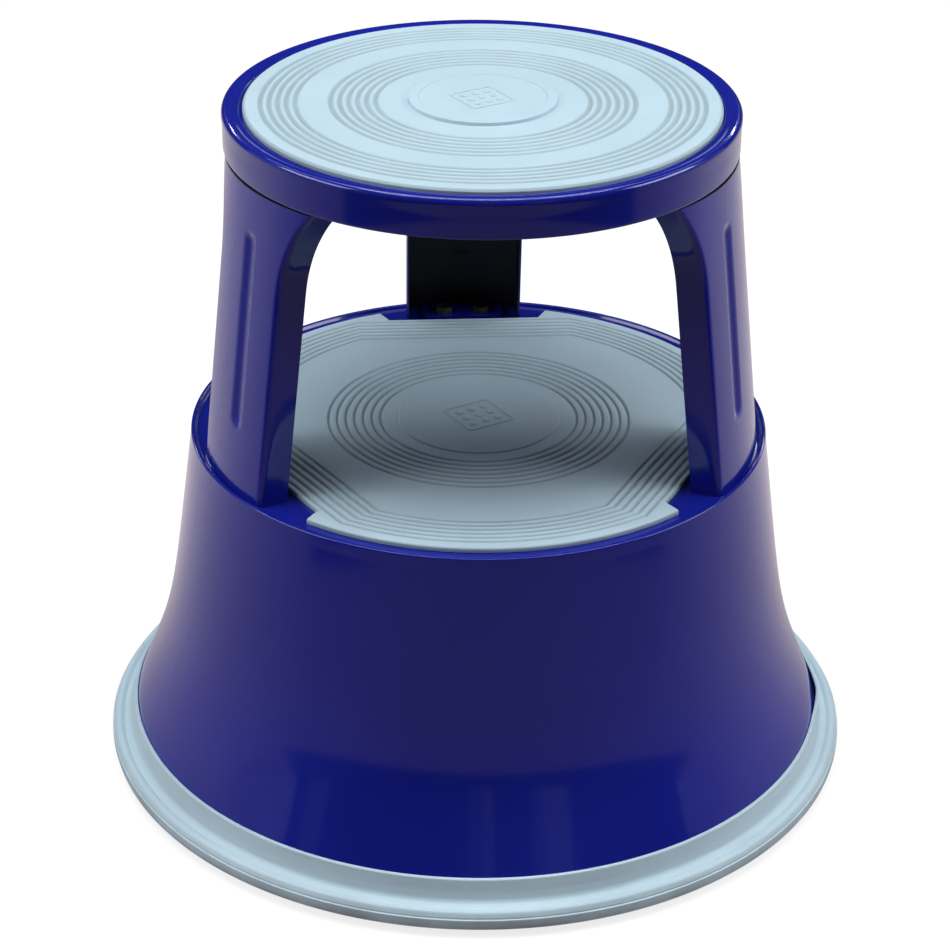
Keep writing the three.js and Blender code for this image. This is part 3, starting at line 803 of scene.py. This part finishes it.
def leg(name):
    """One pressed leg: a channel with a grooved face, arched at the top, its foot folded inwards."""
    heights = leg_heights()
    shift = GROOVE_SHIFT[name]
    points, count = [], 0
    for height in heights:
        outside = leg_section(height, shift)
        loop = outside + offset_inwards(outside, LEG_SHEET)[::-1]
        count = len(loop)
        points += [(p.x, p.y, height) for p in loop]
    faces = ring_faces(len(heights), count)
    wall = count // 2
    # painted shade: the channel's inside faces and the step behind the skirt get the near-black material
    # instead of the blue paint
    shaded_faces = [i for i in range(len(faces))
            if wall <= i % count < count - 1 or LEG_TUCK <= heights[i // count] < SKIRT_FOOT]
    for first in (0, (len(heights) - 1) * count):
        for j in range(wall - 1):
            faces.append((first + j, first + j + 1, first + count - 2 - j, first + count - 1 - j))
    steps = 24
    start = len(points)
    for z in (LEG_FOOT, LEG_FOOT + TAB_THICKNESS):
        for i in range(steps + 1):
            x = TAB_HALF * (2 * i / steps - 1)
            reach = face_radial(x, LEG_FOOT, shift) - LEG_SHEET / 2
            points.append((x, reach, z))
        for i in range(steps + 1):
            x = TAB_HALF * (1 - 2 * i / steps)
            rounding = 4 - math.sqrt(max(16 - max(abs(x) - (TAB_HALF - 4), 0) ** 2, 0))
            points.append((x, TAB_INNER + rounding, z))
    ring = 2 * (steps + 1)
    faces += ring_faces(2, ring, start)
    faces.append(tuple(start + i for i in range(ring)))
    faces.append(tuple(start + ring + i for i in range(ring)))
    middle = centre(f"leg_{name}")
    turn = Matrix.Rotation(math.atan2(middle.y, middle.x) - math.pi / 2, 3, "Z")
    piece = make(f"leg_press_{name}", [turn @ Vector(p) for p in points], faces, BLUE, 40, LEG_SHADE, shaded_faces)
    return placed(piece, "stool", "paint", f"leg_{name}")


for leg_name in LEGS:
    leg(leg_name)


# ---- castors ------------------------------------------------------------------------------------

def helix(name, radius, wire, low, high, turns, material, segments=36, around=14):
    """A compression spring whose end coils lie closed and flat."""
    closed = 1.0
    rows = int((turns + 2 * closed) * segments)
    points = []
    for i in range(rows + 1):
        coil = i / segments
        if coil < closed:
            z = low + wire * 2 * coil
        elif coil > turns + closed:
            z = high - wire * 2 * (turns + 2 * closed - coil)
        else:
            z = low + wire * 2 + (high - low - wire * 4) * (coil - closed) / turns
        angle = math.tau * coil
        for k in range(around):
            around_wire = math.tau * k / around
            r = radius + wire * math.cos(around_wire)
            points.append((r * math.cos(angle), r * math.sin(angle), z + wire * math.sin(around_wire)))
    faces = ring_faces(rows + 1, around)
    faces.append(tuple(range(around)))
    faces.append(tuple(rows * around + k for k in range(around)))
    return make(name, points, faces, material, 50)


def at_castor(piece, name):
    """Moves a piece made on the vertical axis to its castor."""
    middle = centre(f"castor_socket_{name}")
    piece.data.transform(Matrix.Translation(Vector((middle.x, middle.y, 0)) * MM))
    return piece


def socket(name):
    low, high = box(f"castor_socket_{name}")
    radius, bore = 13.0, 10.6
    outline = rounded([
        (bore, low.z, 0.5), (17.0, low.z, 0.6), (17.0, low.z + 3, 0.6), (radius, low.z + 3, 1.0),
        (radius, high.z, 1.6), (5.9, high.z, 0.4), (5.9, high.z - 3, 0.4), (bore, high.z - 3, 0.8),
    ])
    piece = at_castor(turned(f"socket_{name}", outline, ZINC, FINE), name)
    return placed(piece, "stool", "zinc_steel", f"castor_socket_{name}")


COIL_RADIUS = 8.0
WIRE_RADIUS = 1.0
COILS = 4.5  # open coils between the closed ends


def spring(name):
    low, high = box(f"castor_spring_{name}")
    piece = helix(f"spring_{name}", COIL_RADIUS, WIRE_RADIUS, low.z + WIRE_RADIUS, high.z - WIRE_RADIUS,
                  COILS, SPRING_STEEL)
    at_castor(piece, name)
    placed(piece, "stool", "spring_steel", f"castor_spring_{name}")
    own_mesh(piece)
    return piece


for castor_name in CASTORS:
    socket(castor_name)
    spring(castor_name)


# ---- CAD pieces that keep their shape, with softened edges ---------------------------------------

def finish_cad(node, material, softening, crease=30):
    """A carried-over CAD piece gets its finish and a small bevel on its sharp edges."""
    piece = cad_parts[node]
    piece.data.materials.clear()
    piece.data.materials.append(material)
    if softening > 0:
        bevel = piece.modifiers.new("softened", "BEVEL")
        bevel.width = softening * MM
        bevel.segments = 2
        bevel.limit_method = "ANGLE"
        bevel.angle_limit = math.radians(crease)


for castor_name in CASTORS:
    for part, softening in (("bracket", 0.4), ("fork", 0.35), ("stem", 0.0), ("axle", 0.2)):
        finish_cad(f"castor_{part}_{castor_name}", ZINC, softening)
    finish_cad(f"castor_clip_{castor_name}", SPRING_STEEL, 0.1)
    finish_cad(f"castor_hub_{castor_name}", HUB_BLACK, 0.2)
    finish_cad(f"castor_tyre_{castor_name}", TYRE_GREY, 0.2)
for leg_name in LEGS:
    for k in (1, 2):
        # the bolts get the near-black steel, painted shade
        finish_cad(f"foot_bolt_{leg_name}_{k}", SHADE_DARK_STEEL, 0.3)
        finish_cad(f"foot_nut_{leg_name}_{k}", ZINC, 0.3)


# ---- floor, lights and camera -------------------------------------------------------------------

def pale_floor():
    """Pale to look at, but throwing only a little warm light back up at the stool's front."""
    n = Nodes("pale_floor")
    seen = n.add("ShaderNodeLightPath").outputs["Is Camera Ray"]
    parts = n.add("ShaderNodeSeparateXYZ")
    n.put(parts.inputs["Vector"], n.place)
    x, y = parts.outputs["X"], parts.outputs["Y"]
    behind = n.remap(y, -0.35, 0.30)
    thrown = n.mix(behind, rgb(0.25, 0.195, 0.19), rgb(0.58, 0.52, 0.54))
    across, along = n.math("DIVIDE", x, 0.70), n.math("DIVIDE", y, 1.15)
    oval = n.math("ADD", n.math("MULTIPLY", across, across), n.math("MULTIPLY", along, along))
    beyond = n.remap(oval, 0.98, 1.16)
    ahead = n.remap(n.math("ADD", n.math("ABSOLUTE", x), n.math("MULTIPLY", y, 1.9)), -0.08, 0.08, 1.0, 0.0)
    thrown = n.mix(n.math("MULTIPLY", beyond, ahead), thrown, rgb(0.006, 0.006, 0.010))
    near = n.remap(oval, 0.08, 0.17, 0.10, 0.0)
    thrown = n.mix(near, thrown, rgb(0.75, 0.73, 0.76))
    n.set(Base_Color=n.mix(seen, thrown, rgb(0.24, 0.24, 0.24)))
    n.set(Roughness=0.9, Specular_IOR_Level=0.1)
    n.set(Emission_Color=rgb(1, 1, 1), Emission_Strength=n.math("MULTIPLY", seen, 0.80))
    mesh = bpy.data.meshes.new("floor")
    reach = 6.0
    mesh.from_pydata([(-reach, -reach, 0), (reach, -reach, 0), (reach, reach, 0), (-reach, reach, 0)],
                     [], [(0, 1, 2, 3)])
    mesh.materials.append(n.material)
    floor = bpy.data.objects.new("floor", mesh)
    bpy.context.collection.objects.link(floor)


def area_light(name, place, target, width, height, power, colour=(1, 1, 1)):
    data = bpy.data.lights.new(name, "AREA")
    data.shape = "RECTANGLE"
    data.size = width
    data.size_y = height
    data.energy = power
    data.color = colour
    light = bpy.data.objects.new(name, data)
    light.location = place
    light.rotation_euler = (Vector(target) - Vector(place)).to_track_quat("-Z", "Y").to_euler()
    light.visible_camera = False
    bpy.context.collection.objects.link(light)
    return light


def strip_light(name, start, end, thickness, power):
    """A long thin light from start to end that faces the stool."""
    start, end = Vector(start), Vector(end)
    middle = (start + end) / 2
    light = area_light(name, middle, (0, 0, 0.4), (end - start).length, thickness, power)
    along = (end - start).normalized()
    back = middle - Vector((0, 0, 0.4))
    back = (back - along * back.dot(along)).normalized()
    light.rotation_euler = Matrix((along, back.cross(along), back)).transposed().to_euler()
    return light


POSTS = ((-54, 0.35, 0.15), (-2, 0.4, 0.10), (0, 0.2, 0.06), (20, 0.65, 0.25), (21, 0.4, 0.15))
POST_REACH = 3.0  # how far from the stool the dim upright lights stand
POST_HEIGHT = 1.5


def studio():
    pale_floor()
    world = bpy.data.worlds.new("studio")
    bpy.context.scene.world = world
    world.use_nodes = True
    background = world.node_tree.nodes["Background"]
    background.inputs["Color"].default_value = rgb(0.93, 0.96, 1.0)
    background.inputs["Strength"].default_value = 0.02
    area_light("overhead", (0.0, -0.15, 3.0), (0, -0.15, 0), 3.4, 2.0, 46)
    area_light("tube", (0.0, -0.2, 2.9), (0, -0.2, 0), 3.2, 0.06, 25)
    for side, wall, high, main in ((-1, 2.6, 19, 7), (1, 2.3, 22, 6)):
        strip_light(f"strip_{side}", (side * 0.5, -0.1, 2.4), (side * 2.3, 1.6, 2.3), 0.30, main)
        area_light(f"wall_{side}", (side * 2.2, 0.0, 0.6), (0, 0, 0.6), 2.4, 1.2, wall)
        area_light(f"high_{side}", (side * 2.0, -0.3, 1.4), (0, 0, 0.4), 1.4, 0.7, high)
        strip_light(f"back_strip_{side}", (side * 1.0, 2.5, 1.55), (side * 1.7, 2.1, 1.45), 0.10, 4)
    for degrees, width, power in POSTS:
        angle = math.radians(degrees)
        place = (POST_REACH * math.sin(angle), -POST_REACH * math.cos(angle), POST_HEIGHT / 2)
        area_light(f"post_{degrees}", place, (0, 0, POST_HEIGHT / 2), width, POST_HEIGHT, power)
    scene = bpy.context.scene
    scene.view_settings.view_transform = "Standard"
    scene.view_settings.look = "None"


CAMERA_DISTANCE = 1.440  # across the floor from the stool's axis
CAMERA_HEIGHT = 0.937
CAMERA_AZIMUTH = math.radians(4.2)
CAMERA_PITCH = math.radians(27.94)
CAMERA_YAW = math.radians(0.07)
CAMERA_ROLL = math.radians(0.61)
LENS = 101.97


def camera():
    data = bpy.data.cameras.new("camera")
    data.lens = LENS
    data.sensor_width = 36
    eye = bpy.data.objects.new("camera", data)
    eye.location = (-CAMERA_DISTANCE * math.sin(CAMERA_AZIMUTH), -CAMERA_DISTANCE * math.cos(CAMERA_AZIMUTH),
                    CAMERA_HEIGHT)
    facing = Matrix.Rotation(CAMERA_YAW - CAMERA_AZIMUTH, 3, "Z")
    tilt = Matrix.Rotation(math.pi / 2 - CAMERA_PITCH, 3, "X")
    roll = Matrix.Rotation(CAMERA_ROLL, 3, "Z")
    eye.rotation_euler = (facing @ tilt @ roll).to_euler()
    bpy.context.collection.objects.link(eye)
    bpy.context.scene.camera = eye


studio()
camera()
